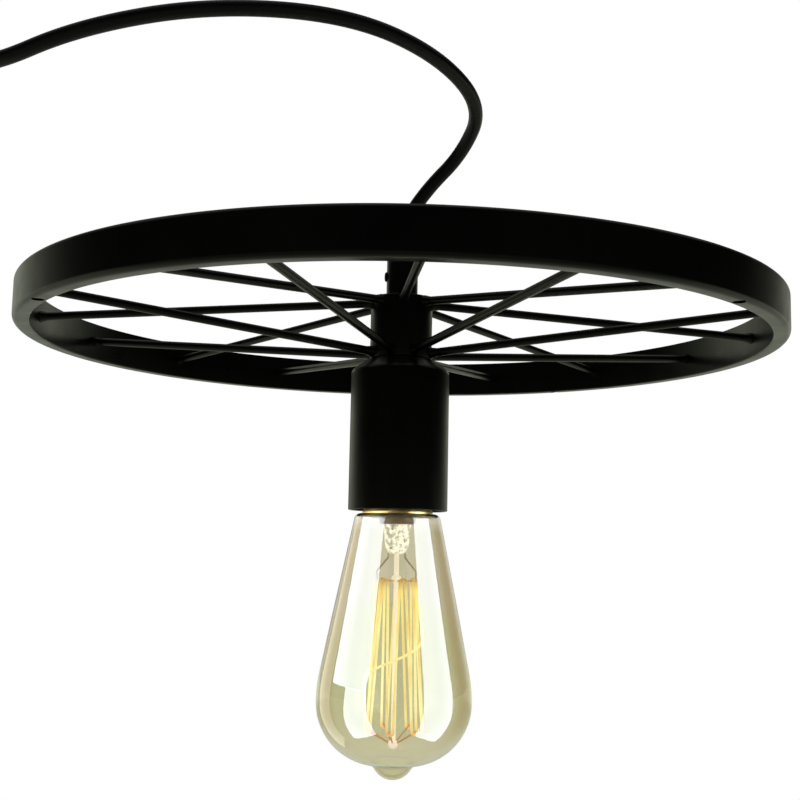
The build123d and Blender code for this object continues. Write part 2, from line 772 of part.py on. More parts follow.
with BuildPart() as glass:
    with BuildSketch(Plane.XZ) as glass_section:
        with BuildLine():
            Line((0, neck_top), (neck_radius, neck_top))
            neck = Line((neck_radius, neck_top), (neck_radius, lamp_cap_base))
            TangentArc(shoulder_point, (neck_radius, lamp_cap_base), tangent=Vector(-sin(taper), cos(taper)))
            taper_line = Line(shoulder_point, taper_end)
            TangentArc(taper_end, widest_point, tangent=taper_line % 1)
            CenterArc(dome_centre, glass_dome_radius, 0, -glass_dome_angle)
            Line(dome_end, tip_edge)
            TangentArc(tip_end, tip_edge, tangent=(1, 0))
            Line(tip_end, (0, neck_top))
        make_face()
        mirror(about=Plane.YZ)
        tip_corners = glass_section.vertices().sort_by_distance(dome_end)[0:1]
        tip_corners += glass_section.vertices().sort_by_distance((-dome_end[0], dome_end[1]))[0:1]
        fillet(tip_corners, glass_tip_fillet)
        offset(amount=-glass_wall, mode=Mode.SUBTRACT)
        with Locations((0, neck_top)):
            Rectangle(glass_diameter, 2 * drop, align=(Align.MIN, Align.CENTER), mode=Mode.INTERSECT)
            Rectangle(exhaust_diameter / 2, 3 * glass_wall, align=(Align.MIN, Align.CENTER), mode=Mode.SUBTRACT)
    revolve(axis=Axis.Z)
glass.part.label = "bulb_glass"
export_step(glass.part, "parts/bulb_glass.step")

# Glass stem: flange under the neck, tube, flat press and the rod that carries the supports
stem_top = neck_top - glass_wall
press_top = stem_top - stem_flange_height - stem_height
press_base = press_top - press_height
rod_base = cage_base - support_slope - support_bead_height / 2
with BuildPart() as stem:
    with BuildSketch(Plane.XY.offset(stem_top)):
        Circle(stem_flange_diameter / 2)
    extrude(amount=-stem_flange_height)
    with BuildSketch(Plane.XY.offset(stem_top)):
        Circle(stem_diameter / 2)
    extrude(amount=-stem_flange_height - stem_height)
    with BuildSketch(Plane.XY.offset(press_top)):
        Circle(stem_diameter / 2)
    with BuildSketch(Plane.XY.offset(press_top - press_height / 2)):
        Ellipse(press_width / 2, press_thickness / 2)
    loft()
    with BuildSketch(Plane.XY.offset(press_top - press_height / 2)):
        Ellipse(press_width / 2, press_thickness / 2)
    extrude(amount=-press_height / 2)
    with BuildSketch(Plane.XY.offset(press_base)):
        Circle(rod_diameter / 2)
    extrude(amount=rod_base - press_base)
    with BuildSketch(Plane.XY.offset(stem_top)):
        Circle(stem_diameter / 2 - stem_wall)
    extrude(amount=-stem_height, mode=Mode.SUBTRACT)
    for bead_z in (cage_top, cage_base - support_slope):
        with BuildSketch(Plane.XY.offset(bead_z - support_bead_height / 2)):
            Circle(support_bead_diameter / 2)
        extrude(amount=support_bead_height)
stem.part.label = "bulb_stem"
export_step(stem.part, "parts/bulb_stem.step")

# Filament: one wire up and down the cage over the support pins, then once round the front to its lead
cage_top_radius = cage_top_diameter / 2
cage_base_radius = cage_base_diameter / 2
loop_step = 360 / filament_loops
start_angle = filament_start_angle
top_pin_angles = [start_angle + loop_step * loop for loop in range(1, filament_loops)]
base_pin_angles = [start_angle + loop_step * (loop + 0.5) for loop in range(filament_loops)]


def bend_points(radius, angle, height):
    """The two corners of the wire's bend over one support pin."""
    half_angle = degrees(filament_bend_width / 2 / radius)
    return [ring(radius, angle - half_angle, height), ring(radius, angle + half_angle, height)]


def cage_radius(share):
    """Radius of the cage at a share of its height, from the top down."""
    return cage_top_radius + share * (cage_base_radius - cage_top_radius)


wire_points = [ring(cage_top_radius, start_angle, cage_top)]
for loop in range(filament_loops):
    wire_points += bend_points(cage_base_radius, base_pin_angles[loop], cage_base)
    if loop < filament_loops - 1:
        wire_points += bend_points(cage_top_radius, top_pin_angles[loop], cage_top)
for step in range(filament_wrap_steps + 1):
    turned = step / filament_wrap_steps
    share = filament_wrap_from + turned * (filament_wrap_to - filament_wrap_from)
    wrap_angle = start_angle + 180 * turned
    wire_points.append(ring(cage_radius(share) + filament_wrap_gap, wrap_angle, cage_top - share * cage_height))
wire_points.append(ring(cage_top_radius, start_angle + 180, cage_top))
with BuildPart() as filament:
    with BuildLine():
        wire_path = FilletPolyline(*wire_points, radius=filament_bend)
    with BuildSketch(Plane(origin=wire_points[0], z_dir=wire_points[1] - wire_points[0])):
        Circle(filament_diameter / 2)
    sweep()
filament.part.label = "filament"
export_step(filament.part, "parts/filament.step")

wire_length = wire_path.length
wire_samples = [wire_path @ (index / 900) for index in range(901)]
sample_step = wire_length / 900
apart = int(3 * filament_bend_width / sample_step) + 1
least_gap = min(
    (wire_samples[i] - wire_samples[j]).length for i in range(901) for j in range(i + apart, 901)
)
print("filament length", round(wire_length, 1), "least gap to itself", round(least_gap - filament_diameter, 2))

# Lead wires from the press to the two ends of the filament
with BuildPart() as leads:
    for end_angle in (start_angle, start_angle + 180):
        press_exit = ring(press_width / 3, end_angle, press_base)
        lead_end = ring(cage_top_radius, end_angle, cage_top + seat_gap)
        lead_knee = ring(cage_top_radius, end_angle, cage_top + support_bead_height)
        lead_neck = ring(press_width / 3, end_angle, press_base - support_bead_height / 2)
        with BuildLine():
            FilletPolyline(press_exit, lead_neck, lead_knee, lead_end, radius=lead_diameter)
        with BuildSketch(Plane(origin=press_exit, z_dir=(0, 0, -1))):
            Circle(lead_diameter / 2)
        sweep()
leads.part.label = "lead_wires"
export_step(leads.part, "parts/lead_wires.step")

# Support pins: short radial wires from the two beads of the rod
pin_start = support_bead_diameter / 2 + seat_gap
upper_pin_z = cage_top - filament_diameter / 2 - support_diameter / 2 - seat_gap
lower_pin_z = cage_base + filament_diameter / 2 + support_diameter / 2 + 5 * seat_gap
with BuildPart() as upper_supports:
    for pin_angle in top_pin_angles:
        inner = ring(pin_start, pin_angle, upper_pin_z)
        outer = ring(cage_top_radius + support_reach, pin_angle, upper_pin_z)
        with BuildSketch(Plane(origin=inner, z_dir=outer - inner)):
            Circle(support_diameter / 2)
        extrude(amount=(outer - inner).length)
upper_supports.part.label = "upper_supports"
export_step(upper_supports.part, "parts/upper_supports.step")

with BuildPart() as lower_supports:
    for pin_angle in base_pin_angles:
        inner = ring(pin_start + support_diameter / 2, pin_angle, lower_pin_z - support_slope)
        seat = ring(cage_base_radius, pin_angle, lower_pin_z)
        with BuildSketch(Plane(origin=inner, z_dir=seat - inner)):
            Circle(support_diameter / 2)
        extrude(amount=(seat - inner).length + support_reach)
lower_supports.part.label = "lower_supports"
export_step(lower_supports.part, "parts/lower_supports.step")
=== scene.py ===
import json
import math

import bmesh
import bpy
from mathutils import Matrix, Vector


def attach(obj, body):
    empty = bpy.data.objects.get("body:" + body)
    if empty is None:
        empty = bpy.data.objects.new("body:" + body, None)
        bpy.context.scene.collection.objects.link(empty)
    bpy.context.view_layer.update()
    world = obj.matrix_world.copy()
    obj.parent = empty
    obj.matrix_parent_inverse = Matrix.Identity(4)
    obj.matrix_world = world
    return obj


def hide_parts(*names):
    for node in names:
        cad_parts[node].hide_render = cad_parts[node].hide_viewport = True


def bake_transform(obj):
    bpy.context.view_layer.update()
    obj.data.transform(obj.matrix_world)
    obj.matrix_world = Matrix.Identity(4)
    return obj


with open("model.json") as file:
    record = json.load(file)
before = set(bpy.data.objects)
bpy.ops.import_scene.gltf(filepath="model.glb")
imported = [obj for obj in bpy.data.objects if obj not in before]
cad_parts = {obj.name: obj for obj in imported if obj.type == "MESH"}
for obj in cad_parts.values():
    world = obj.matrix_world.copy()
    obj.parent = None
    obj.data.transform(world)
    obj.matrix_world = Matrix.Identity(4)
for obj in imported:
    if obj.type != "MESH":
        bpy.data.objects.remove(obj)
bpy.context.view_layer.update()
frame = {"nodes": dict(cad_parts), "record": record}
nodes = frame["nodes"]
slot_of = {part["node"]: part["material_slot"] for part in frame["record"]["subparts"]}

scene = bpy.context.scene
scene.view_settings.view_transform = "Standard"

# Sizes shared by several sections, in millimetres, with heights counted from the ceiling
MM = 0.001
WHEEL = -310.0  # middle of the wheel
RIM_RADIUS = 151
RIM_INSIDE = 144.6
HUB_RADIUS = 12.5
HUB_BASE = -323.2
NIPPLE_HOLE = 5.15
CAP = -385.5  # foot of the lamp cap
CAGE_TOP = CAP - 25.7
CAGE_HEIGHT = 58.8
CAGE_BASE = CAGE_TOP - CAGE_HEIGHT


# Camera at the photo's viewing angle: below the wheel, looking up
PHOTO_TURN = -3.2  # degrees about the drop axis, from the photo's frame to the model's


def camera_at(place, right, up, back, aim, lens):
    """A camera by its place from the wheel's middle, its axes in the photo's frame and a shift of aim."""
    data = bpy.data.cameras.new("camera")
    data.sensor_width = 36
    data.sensor_fit = "HORIZONTAL"
    data.lens = lens
    data.clip_start = 0.01
    data.clip_end = 100
    cam = bpy.data.objects.new("camera", data)
    scene.collection.objects.link(cam)
    turn = Matrix.Rotation(math.radians(PHOTO_TURN), 3, "Z")
    right, up, back = (Vector(v).normalized() for v in (right, up, back))
    back = (back - aim[0] * right + aim[1] * up).normalized()
    right = (right - back * right.dot(back)).normalized()
    axes = [turn @ v for v in (right, back.cross(right), back)]
    spot = turn @ Vector(place) + Vector((0, 0, WHEEL * MM))
    rows = [[axes[c][r] for c in range(3)] + [spot[r]] for r in range(3)]
    cam.matrix_world = Matrix(rows + [[0, 0, 0, 1]])
    scene.camera = cam


camera_at(
    place=(0, -0.49010, -0.09269),
    right=(0.999797, -0.0031177, 0.0199056),
    up=(-0.0201404, -0.1270299, 0.9916944),
    back=(-0.00056317, -0.9918940, -0.1270669),
    aim=(-0.00045, -0.0005),
    lens=55.103,
)


# Node trees
MIX_A, MIX_B, MIX_RESULT = 6, 7, 2  # places of a Mix node's colour sockets


class Graph:
    """Short forms for making and joining the nodes of one tree."""

    def __init__(self, tree):
        self.tree = tree

    def set(self, node, sockets):
        for key, value in sockets.items():
            node.inputs[key.replace("_", " ")].default_value = value

    def node(self, kind, **sockets):
        made = self.tree.nodes.new(kind)
        self.set(made, sockets)
        return made

    def link(self, source, socket):
        self.tree.links.new(source, socket)

    def place(self, kind):
        return self.node("ShaderNodeTexCoord").outputs[kind]

    def along(self, vector, axis):
        split = self.node("ShaderNodeSeparateXYZ")
        self.link(vector, split.inputs["Vector"])
        return split.outputs[axis]

    def maths(self, operation, *sources, kind="ShaderNodeMath"):
        made = self.node(kind)
        made.operation = operation
        for source, socket in zip(sources, made.inputs):
            if isinstance(source, bpy.types.NodeSocket):
                self.link(source, socket)
            else:
                socket.default_value = source
        return made.outputs["Value"]

    def between(self, source, low, high, to_low=0.0, to_high=1.0):
        """A value carried from one range to another."""
        made = self.node("ShaderNodeMapRange", From_Min=low, From_Max=high, To_Min=to_low, To_Max=to_high)
        self.link(source, made.inputs["Value"])
        return made.outputs["Result"]

    def ramp(self, source, stops):
        """A colour ramp through (place, colour), where a single number stands for a grey."""
        made = self.node("ShaderNodeValToRGB")
        band = made.color_ramp
        while len(band.elements) < len(stops):
            band.elements.new(0.5)
        for element, (at, colour) in zip(band.elements, stops):
            element.position = at
            element.color = (*colour, 1) if isinstance(colour, tuple) else (colour, colour, colour, 1)
        self.link(source, made.inputs["Fac"])
        return made.outputs["Color"]

    def mix(self, share, a, b, blend="MIX"):
        """Two colours mixed, where a share or colour is a socket or a plain value."""
        made = self.node("ShaderNodeMix")
        made.data_type = "RGBA"
        made.blend_type = blend
        for value, key in ((share, "Factor"), (a, MIX_A), (b, MIX_B)):
            if isinstance(value, bpy.types.NodeSocket):
                self.link(value, made.inputs[key])
            else:
                made.inputs[key].default_value = value
        return made.outputs[MIX_RESULT]

    def mix_shaders(self, share, a, b):
        made = self.node("ShaderNodeMixShader")
        for source, socket in zip((share, a, b), made.inputs):
            self.link(source, socket)
        return made.outputs[0]


class Mat(Graph):
    """A node material around one Principled shader."""

    def __init__(self, name, base, **sockets):
        self.mat = bpy.data.materials.new(name)
        self.mat.use_nodes = True
        super().__init__(self.mat.node_tree)
        self.shader = self.tree.nodes["Principled BSDF"]
        self.set(self.shader, {"Base Color": (*base, 1), **sockets})

    def noise(self, scale, detail=3.0, rough=0.55, stretch=(1, 1, 1)):
        where = self.node("ShaderNodeMapping", Scale=stretch)
        self.link(self.place("Object"), where.inputs["Vector"])
        noise = self.node("ShaderNodeTexNoise", Scale=scale, Detail=detail, Roughness=rough)
        self.link(where.outputs["Vector"], noise.inputs["Vector"])
        return noise.outputs["Fac"]

    def height(self, low, high):
        """The share of the way up from one height to another, in millimetres."""
        return self.between(self.along(self.place("Object"), "Z"), low * MM, high * MM)

    def colour_from(self, source, stops):
        self.link(self.ramp(source, stops), self.shader.inputs["Base Color"])

    def rough_from(self, source, low, high):
        self.link(self.ramp(source, [(0.3, low), (0.7, high)]), self.shader.inputs["Roughness"])

    def bump(self, source, distance, strength=1.0):
        bump = self.node("ShaderNodeBump", Strength=strength, Distance=distance)
        self.link(source, bump.inputs["Height"])
        self.link(bump.outputs["Normal"], self.shader.inputs["Normal"])

    def emit(self, source, strength):
        self.link(source, self.shader.inputs["Emission Color"])
        self.shader.inputs["Emission Strength"].default_value = strength


# Materials
def powder_coat():
    m = Mat(
        "powder_coat", (0.0010, 0.0011, 0.0010),
        Roughness=0.31, Specular_IOR_Level=0.3, Specular_Tint=(0.97, 1.0, 0.86, 1),
    )
    m.bump(m.noise(640, 2.5, 0.5), 0.0001, 0.15)
    m.rough_from(m.noise(60, 4), 0.27, 0.36)
    m.colour_from(m.noise(35, 5), [(0.3, (0.0007, 0.0008, 0.0007)), (0.7, (0.0014, 0.0016, 0.0013))])
    return m.mat


def flex_sheath():
    m = Mat("flex_sheath", (0.0018, 0.0018, 0.0018), Roughness=0.38, Specular_IOR_Level=0.28)
    m.bump(m.noise(700, 2), 0.00008, 0.25)
    m.rough_from(m.noise(90, 3), 0.33, 0.43)
    m.colour_from(m.noise(40, 3), [(0.3, (0.0014, 0.0014, 0.0014)), (0.7, (0.0026, 0.0026, 0.0024))])
    return m.mat


def metal(name, low, high, rough, grain=420, stretch=(1, 1, 6), metallic=1.0):
    m = Mat(name, low, Roughness=rough, Metallic=metallic)
    m.colour_from(m.noise(grain, 4, 0.6, stretch), [(0.3, low), (0.7, high)])
    m.rough_from(m.noise(grain / 3, 3), rough * 0.8, rough * 1.25)
    m.bump(m.noise(grain * 2, 2, 0.5, stretch), 0.00003, 0.4)
    return m.mat


def moulded(name, low, high, rough=0.5, grain=300):
    m = Mat(name, low, Roughness=rough)
    m.colour_from(m.noise(grain / 8, 4), [(0.3, low), (0.7, high)])
    m.rough_from(m.noise(grain / 4, 3), rough * 0.9, rough * 1.12)
    m.bump(m.noise(grain * 2, 2), 0.00006, 0.3)
    return m.mat


def bulb_glass():
    m = Mat("amber_glass", (0.71, 0.685, 0.55), Roughness=0.0, IOR=1.45, Transmission_Weight=1.0)
    facing = m.node("ShaderNodeLayerWeight", Blend=0.5)
    tint = m.ramp(facing.outputs["Facing"], [
        (0.0, (0.73, 0.705, 0.575)),
        (0.36, (0.71, 0.683, 0.56)),
        (0.52, (0.585, 0.495, 0.328)),
        (1.0, (0.49, 0.395, 0.237)),
    ])
    # the glass is lighter over the shoulder and the dome: partly because it is blown thinner there, partly
    # painted light, which lifts the shade seen through the shoulder from the cup and stands in for the
    # floor's reflection on the dome
    thin_glass_and_painted_light = m.ramp(
        m.height(CAP - 103, CAP + 2),
        [(0.052, 0.25), (0.067, 0.95), (0.13, 0.9), (0.22, 0.0), (0.914, 0.0), (0.955, 0.85)],
    )
    m.link(m.mix(thin_glass_and_painted_light, tint, (0.785, 0.75, 0.66, 1)), m.shader.inputs["Base Color"])
    return m.mat


def stem_glass(name, base, rough, grain, **sockets):
    m = Mat(name, base, Roughness=rough, IOR=1.47, **sockets)
    m.bump(m.noise(grain, 3), 0.0002, 0.6)
    return m.mat


def press_glass_painted_glints():
    m = Mat("press_glass_painted_glints", (0.9, 0.89, 0.87), Roughness=0.16, IOR=1.5)
    m.colour_from(
        m.noise(520, 3, 0.6),
        [(0.34, (0.46, 0.22, 0.09)), (0.39, (0.84, 0.74, 0.64)), (0.44, (0.96, 0.95, 0.93))],
    )
    m.bump(m.noise(620, 3), 0.0009, 1.0)
    # painted glints: an emission in its creases that stands in for the filament's light caught there
    m.emit(m.ramp(m.noise(560, 3, 0.6), [(0.41, (0.02, 0.018, 0.015)), (0.52, (0.94, 0.97, 1.0))]), 0.9)
    return m.mat


def filament_glow():
    m = Mat("filament_glow", (0.12, 0.07, 0.02), Roughness=0.6)
    heat = m.ramp(m.noise(110, 4, 0.6, (1, 1, 0.3)), [
        (0.34, (0.78, 0.58, 0.22)),
        (0.44, (0.86, 0.77, 0.38)),
        (0.56, (0.93, 0.90, 0.50)),
        (0.68, (1.0, 0.99, 0.62)),
    ])
    # copper on the bends at the foot of the cage, pale along the legs, golden at its top
    tone = m.ramp(m.height(CAGE_BASE, CAGE_TOP), [
        (0.0, (0.86, 0.56, 0.42)),
        (0.05, (0.95, 0.82, 0.70)),
        (0.12, (1, 1, 1)),
        (0.5, (1, 0.97, 0.84)),
        (0.8, (1, 0.93, 0.66)),
        (0.92, (0.98, 0.83, 0.48)),
        (1.0, (0.48, 0.33, 0.13)),
    ])
    m.emit(m.mix(1.0, heat, tone, "MULTIPLY"), 1.45)
    return m.mat


COAT = powder_coat()
FLEX = flex_sheath()
ZINC = metal("zinc_plate", (0.52, 0.53, 0.52), (0.66, 0.66, 0.63), 0.34)
BLACK_STEEL = metal("black_steel", (0.02, 0.02, 0.02), (0.035, 0.035, 0.034), 0.38)
BRASS = metal("lamp_brass", (0.52, 0.34, 0.11), (0.66, 0.45, 0.16), 0.36)
TERMINAL = metal("terminal_brass", (0.62, 0.47, 0.20), (0.74, 0.58, 0.28), 0.32)
SOLDER = metal("solder", (0.50, 0.50, 0.49), (0.64, 0.64, 0.62), 0.40, 200, (1, 1, 1))
WIRE = metal("support_wire", (0.36, 0.30, 0.23), (0.50, 0.42, 0.32), 0.38)
COPPER = metal("copper_wire", (0.80, 0.46, 0.29), (0.92, 0.60, 0.40), 0.36, metallic=0.5)
LIVE = moulded("live_sleeve", (0.16, 0.06, 0.025), (0.20, 0.08, 0.035))
NEUTRAL = moulded("neutral_sleeve", (0.015, 0.07, 0.30), (0.02, 0.09, 0.36))
PHENOLIC = moulded("phenolic", (0.012, 0.011, 0.010), (0.02, 0.018, 0.016), 0.4)
CERAMIC = moulded("white_ceramic", (0.74, 0.72, 0.66), (0.82, 0.80, 0.75), 0.55, 200)
PLASTIC = moulded("white_plastic", (0.76, 0.76, 0.74), (0.82, 0.82, 0.80), 0.45)
VITRITE = moulded("black_vitrite", (0.006, 0.006, 0.008), (0.012, 0.012, 0.014), 0.18, 120)
GLASS = bulb_glass()
# the stem's rod glows with painted light: an emission that stands in for the light falling on the glass
STEM_PAINTED_GLOW = stem_glass(
    "stem_glass", (0.97, 0.90, 0.85), 0.08, 260,
    Transmission_Weight=0.0, Emission_Color=(1.0, 0.93, 0.86, 1), Emission_Strength=0.5,
)
PRESS = press_glass_painted_glints()
# the flare's dark brown is painted shade: it stands in for the shadowed inside of the cap and the cup's dark
# reflection
FLARE = stem_glass("flare_glass_painted_shade", (0.36, 0.25, 0.14), 0.12, 200, Transmission_Weight=0.5)
GLOW = filament_glow()

finishes = {
    "black_powder_coat": COAT,
    "black_steel": BLACK_STEEL,
    "zinc_steel": ZINC,
    "lamp_brass": BRASS,
    "terminal_brass": TERMINAL,
    "solder": SOLDER,
    "black_flex": FLEX,
    "live_sleeve": LIVE,
    "neutral_sleeve": NEUTRAL,
    "phenolic": PHENOLIC,
    "white_ceramic": CERAMIC,
    "white_plastic": PLASTIC,
    "black_glass": VITRITE,
    "amber_glass": GLASS,
    "clear_glass": STEM_PAINTED_GLOW,
    "support_wire": COPPER,
    "filament_wire": GLOW,
}
own_finish = {"lead_wires": WIRE}
for name, obj in nodes.items():
    obj.data.materials.clear()
    obj.data.materials.append(own_finish.get(name) or finishes[slot_of[name]])


# Mesh helpers
def add(name, mesh, material, body=None, smooth=35):
    """A piece of the scene, shaded smooth up to an angle in degrees."""
    obj = bpy.data.objects.new(name, mesh)
    scene.collection.objects.link(obj)
    mesh.materials.append(material)
    mesh.polygons.foreach_set("use_smooth", [True] * len(mesh.polygons))
    mesh.set_sharp_from_angle(angle=math.radians(smooth))
    if body:
        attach(obj, body)
    return obj


def mesh_of(bm, name):
    """The finished mesh, with its faces turned outwards."""
    bmesh.ops.recalc_face_normals(bm, faces=bm.faces)
    mesh = bpy.data.meshes.new(name)
    bm.to_mesh(mesh)
    bm.free()
    return mesh


def turns(count):
    """The angles of a full turn in equal steps."""
    return [2 * math.pi * k / count for k in range(count)]


def ring(radius, angle, height):
    """A point round the drop axis, from millimetres and degrees."""
    turn = math.radians(angle)
    return Vector((radius * math.cos(turn), radius * math.sin(turn), height)) * MM


def bridge(bm, rings, closed=False):
    """Faces from each ring to the next; a ring of one vertex is a tip."""
    pairs = list(zip(rings, rings[1:]))
    if closed:
        pairs.append((rings[-1], rings[0]))
    for a, b in pairs:
        count = max(len(a), len(b))
        if count == 1:
            continue
        for k in range(count):
            n = (k + 1) % count
            near = (a[0],) if len(a) == 1 else (a[k], a[n])
            far = (b[0],) if len(b) == 1 else (b[n], b[k])
            bm.faces.new(near + far)


def rounded(points, radii, steps):
    """A profile with its corners rounded."""
    made = []
    for i, (point, radius) in enumerate(zip(points, radii)):
        p = Vector(point)
        if not radius:
            made.append(p)
            continue
        a = (Vector(points[i - 1]) - p).normalized()
        b = (Vector(points[(i + 1) % len(points)]) - p).normalized()
        half = a.angle(b) / 2
        cut = radius / math.tan(half)
        centre = p + (a + b).normalized() * (radius / math.sin(half))
        v0 = p + a * cut - centre
        v1 = p + b * cut - centre
        sweep = v0.angle_signed(v1)
        for k in range(steps + 1):
            made.append(centre + Matrix.Rotation(-sweep * k / steps, 2) @ v0)
    return [(v.x, v.y) for v in made]


def lathe(name, profile, segments, closed=True):
    """A mesh turned about the drop axis from (radius, height) in millimetres."""
    bm = bmesh.new()
    rings = []
    for radius, height in profile:
        angles = turns(segments) if radius > 0 else [0]
        rings.append([
            bm.verts.new((radius * MM * math.cos(t), radius * MM * math.sin(t), height * MM)) for t in angles
        ])
    bridge(bm, rings, closed)
    return mesh_of(bm, name)


def loft(name, sections, sides=48):
    """A closed mesh through ellipses (half width, half depth, height) in millimetres."""
    bm = bmesh.new()
    rings = [
        [bm.verts.new((a * MM * math.cos(t), b * MM * math.sin(t), height * MM)) for t in turns(sides)]
        for a, b, height in sections
    ]
    bridge(bm, rings)
    bm.faces.new(rings[0])
    bm.faces.new(rings[-1])
    return mesh_of(bm, name)


def evaluated(obj):
    """A new mesh of a curve or of an object with its modifiers applied."""
    bpy.context.view_layer.update()
    return bpy.data.meshes.new_from_object(obj.evaluated_get(bpy.context.evaluated_depsgraph_get()))


def spline_points(name, control, per_span=14):
    """Points along a quadratic NURBS with these control points, in metres."""
    curve = bpy.data.curves.new(name + "_line", "CURVE")
    curve.dimensions = "3D"
    curve.resolution_u = per_span
    spline = curve.splines.new("NURBS")
    spline.points.add(len(control) - 1)
    for point, at in zip(spline.points, control):
        point.co = (*at, 1)
    spline.order_u = 3
    spline.use_endpoint_u = True
    holder = bpy.data.objects.new(name + "_line", curve)
    scene.collection.objects.link(holder)
    line = evaluated(holder)
    points = [v.co.copy() for v in line.vertices]
    bpy.data.objects.remove(holder)
    bpy.data.meshes.remove(line)
    return points


def tube(name, points, radius, sides):
    """A closed tube mesh along points, in metres."""
    bm = bmesh.new()
    last = len(points) - 1
    ahead = [(points[min(i + 1, last)] - points[max(i - 1, 0)]).normalized() for i in range(last + 1)]
    side = ahead[0].orthogonal().normalized()
    rings = []
    for i, point in enumerate(points):
        if i:
            side = ahead[i - 1].rotation_difference(ahead[i]) @ side
        across = ahead[i].cross(side)
        rings.append([
            bm.verts.new(point + radius * (math.cos(t) * side + math.sin(t) * across)) for t in turns(sides)
        ])
    bridge(bm, rings)
    bm.faces.new(list(reversed(rings[0])))
    bm.faces.new(rings[-1])
    return mesh_of(bm, name)


# Flex, with its route's points in metres, from the rose to the cord grip
FLEX_DIAMETER = 5.5
cord_route = [
    (0, 0, -0.0425),
    (0, 0, -0.069),
    (-0.005, 0.0005, -0.094),
    (-0.024, 0.0015, -0.115),
    (-0.056, 0.001, -0.127),
    (-0.095, 0.0005, -0.136),
    (-0.1345, -0.0025, -0.150),
    (-0.167, -0.0125, -0.174),
    (-0.182, -0.034, -0.204),
    (-0.174, -0.0625, -0.2308),
    (-0.149, -0.082, -0.2401),
    (-0.1155, -0.0925, -0.2285),
    (-0.0715, -0.096, -0.2202),
    (-0.025, -0.0855, -0.2168),
    (0.0085, -0.0615, -0.220),
    (0.0283, -0.0325, -0.228),
    (0.0225, -0.0115, -0.240),
    (0.0090, -0.0055, -0.2535),
    (0, 0, -0.267),
    (0, 0, -0.2835),
]
cord_line = spline_points("flex", cord_route)
flex = add("flex", tube("flex", cord_line, FLEX_DIAMETER / 2 * MM, 24), FLEX)
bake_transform(flex)
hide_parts("cord")


# Filament: one wire up and down the cage, then a strand round the front to its second lead
LOOPS = 7
FIRST_LEAD = 183  # degrees round the cage
TOP_RADIUS = 7.8
BASE_RADIUS = 11.4
FILAMENT_RADIUS = 0.5
HALF_BEND = 1.15
LONG_RUN = 20  # legs longer than this stay straight up to their bends
BEND_REACH = 1.6
STRAND_STEPS = 6
STRAND_STARTS, STRAND_RISES = 0.643, 0.255  # shares of the way down the cage
STRAND_STANDS_OFF = 1.7


def bend(radius, angle, height):
    half = math.degrees(HALF_BEND / radius)
    return [ring(radius, angle - half, height), ring(radius, angle + half, height)]


def cage_corners():
    corners = [ring(TOP_RADIUS, FIRST_LEAD, CAGE_TOP)]
    for loop in range(LOOPS):
        corners += bend(BASE_RADIUS, FIRST_LEAD + 360 / LOOPS * (loop + 0.5), CAGE_BASE)
        if loop < LOOPS - 1:
            corners += bend(TOP_RADIUS, FIRST_LEAD + 360 / LOOPS * (loop + 1), CAGE_TOP)
    for step in range(STRAND_STEPS + 1):
        share = STRAND_STARTS - STRAND_RISES * step / STRAND_STEPS
        radius = TOP_RADIUS + (BASE_RADIUS - TOP_RADIUS) * share + STRAND_STANDS_OFF
        corners.append(ring(radius, FIRST_LEAD + 180 * step / STRAND_STEPS, CAGE_TOP - CAGE_HEIGHT * share))
    corners.append(ring(TOP_RADIUS, FIRST_LEAD + 180, CAGE_TOP))
    return corners


def with_straight_legs(corners):
    wire = [corners[0]]
    for a, b in zip(corners, corners[1:]):
        run = b - a
        if run.length > LONG_RUN * MM:
            reach = run.normalized() * BEND_REACH * MM
            wire += [a + reach, b - reach]
        wire.append(b)
    return wire


filament_line = spline_points("filament", with_straight_legs(cage_corners()), 8)
filament_mesh = tube("filament_coil", filament_line, FILAMENT_RADIUS * MM, 10)
filament = add("filament_coil", filament_mesh, GLOW, "lamp")
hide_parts("filament")


# Bulb glass: both walls of the blown teardrop, with heights and depths counted from the foot of the cap
NECK_RADIUS, NECK_HEIGHT, NECK_ROUNDING = 12.5, 9, 0.6
NECK_ROW = 4  # height of one more row of points on the neck
CROWN_RADIUS = 16.78
SHOULDER_RADIUS, SHOULDER_DEPTH, SHOULDER_ROUNDING = 17.7, 4.5, 2.6
BELLY_RADIUS, BELLY_DEPTH = 30.5, 73
BELLY_BLEND = 12  # height over which the taper turns into the belly
DOME_RADIUS = 0.787 * BELLY_RADIUS
DOME_SWEEP, DOME_EDGE = math.radians(80), math.radians(84)
TIP_FILLET = ((9.5, -0.02), (8.7, -0.35), (8.1, -0.75), (7.6, -1.25), (7.25, -1.75))
NUB_RADIUS, NUB_HEIGHT, NUB_DROP = 7, 3.8, 5.9
TAPER_STEPS, BLEND_STEPS, DOME_STEPS, NUB_STEPS = 24, 8, 30, 12
GLASS_WALL = 0.8


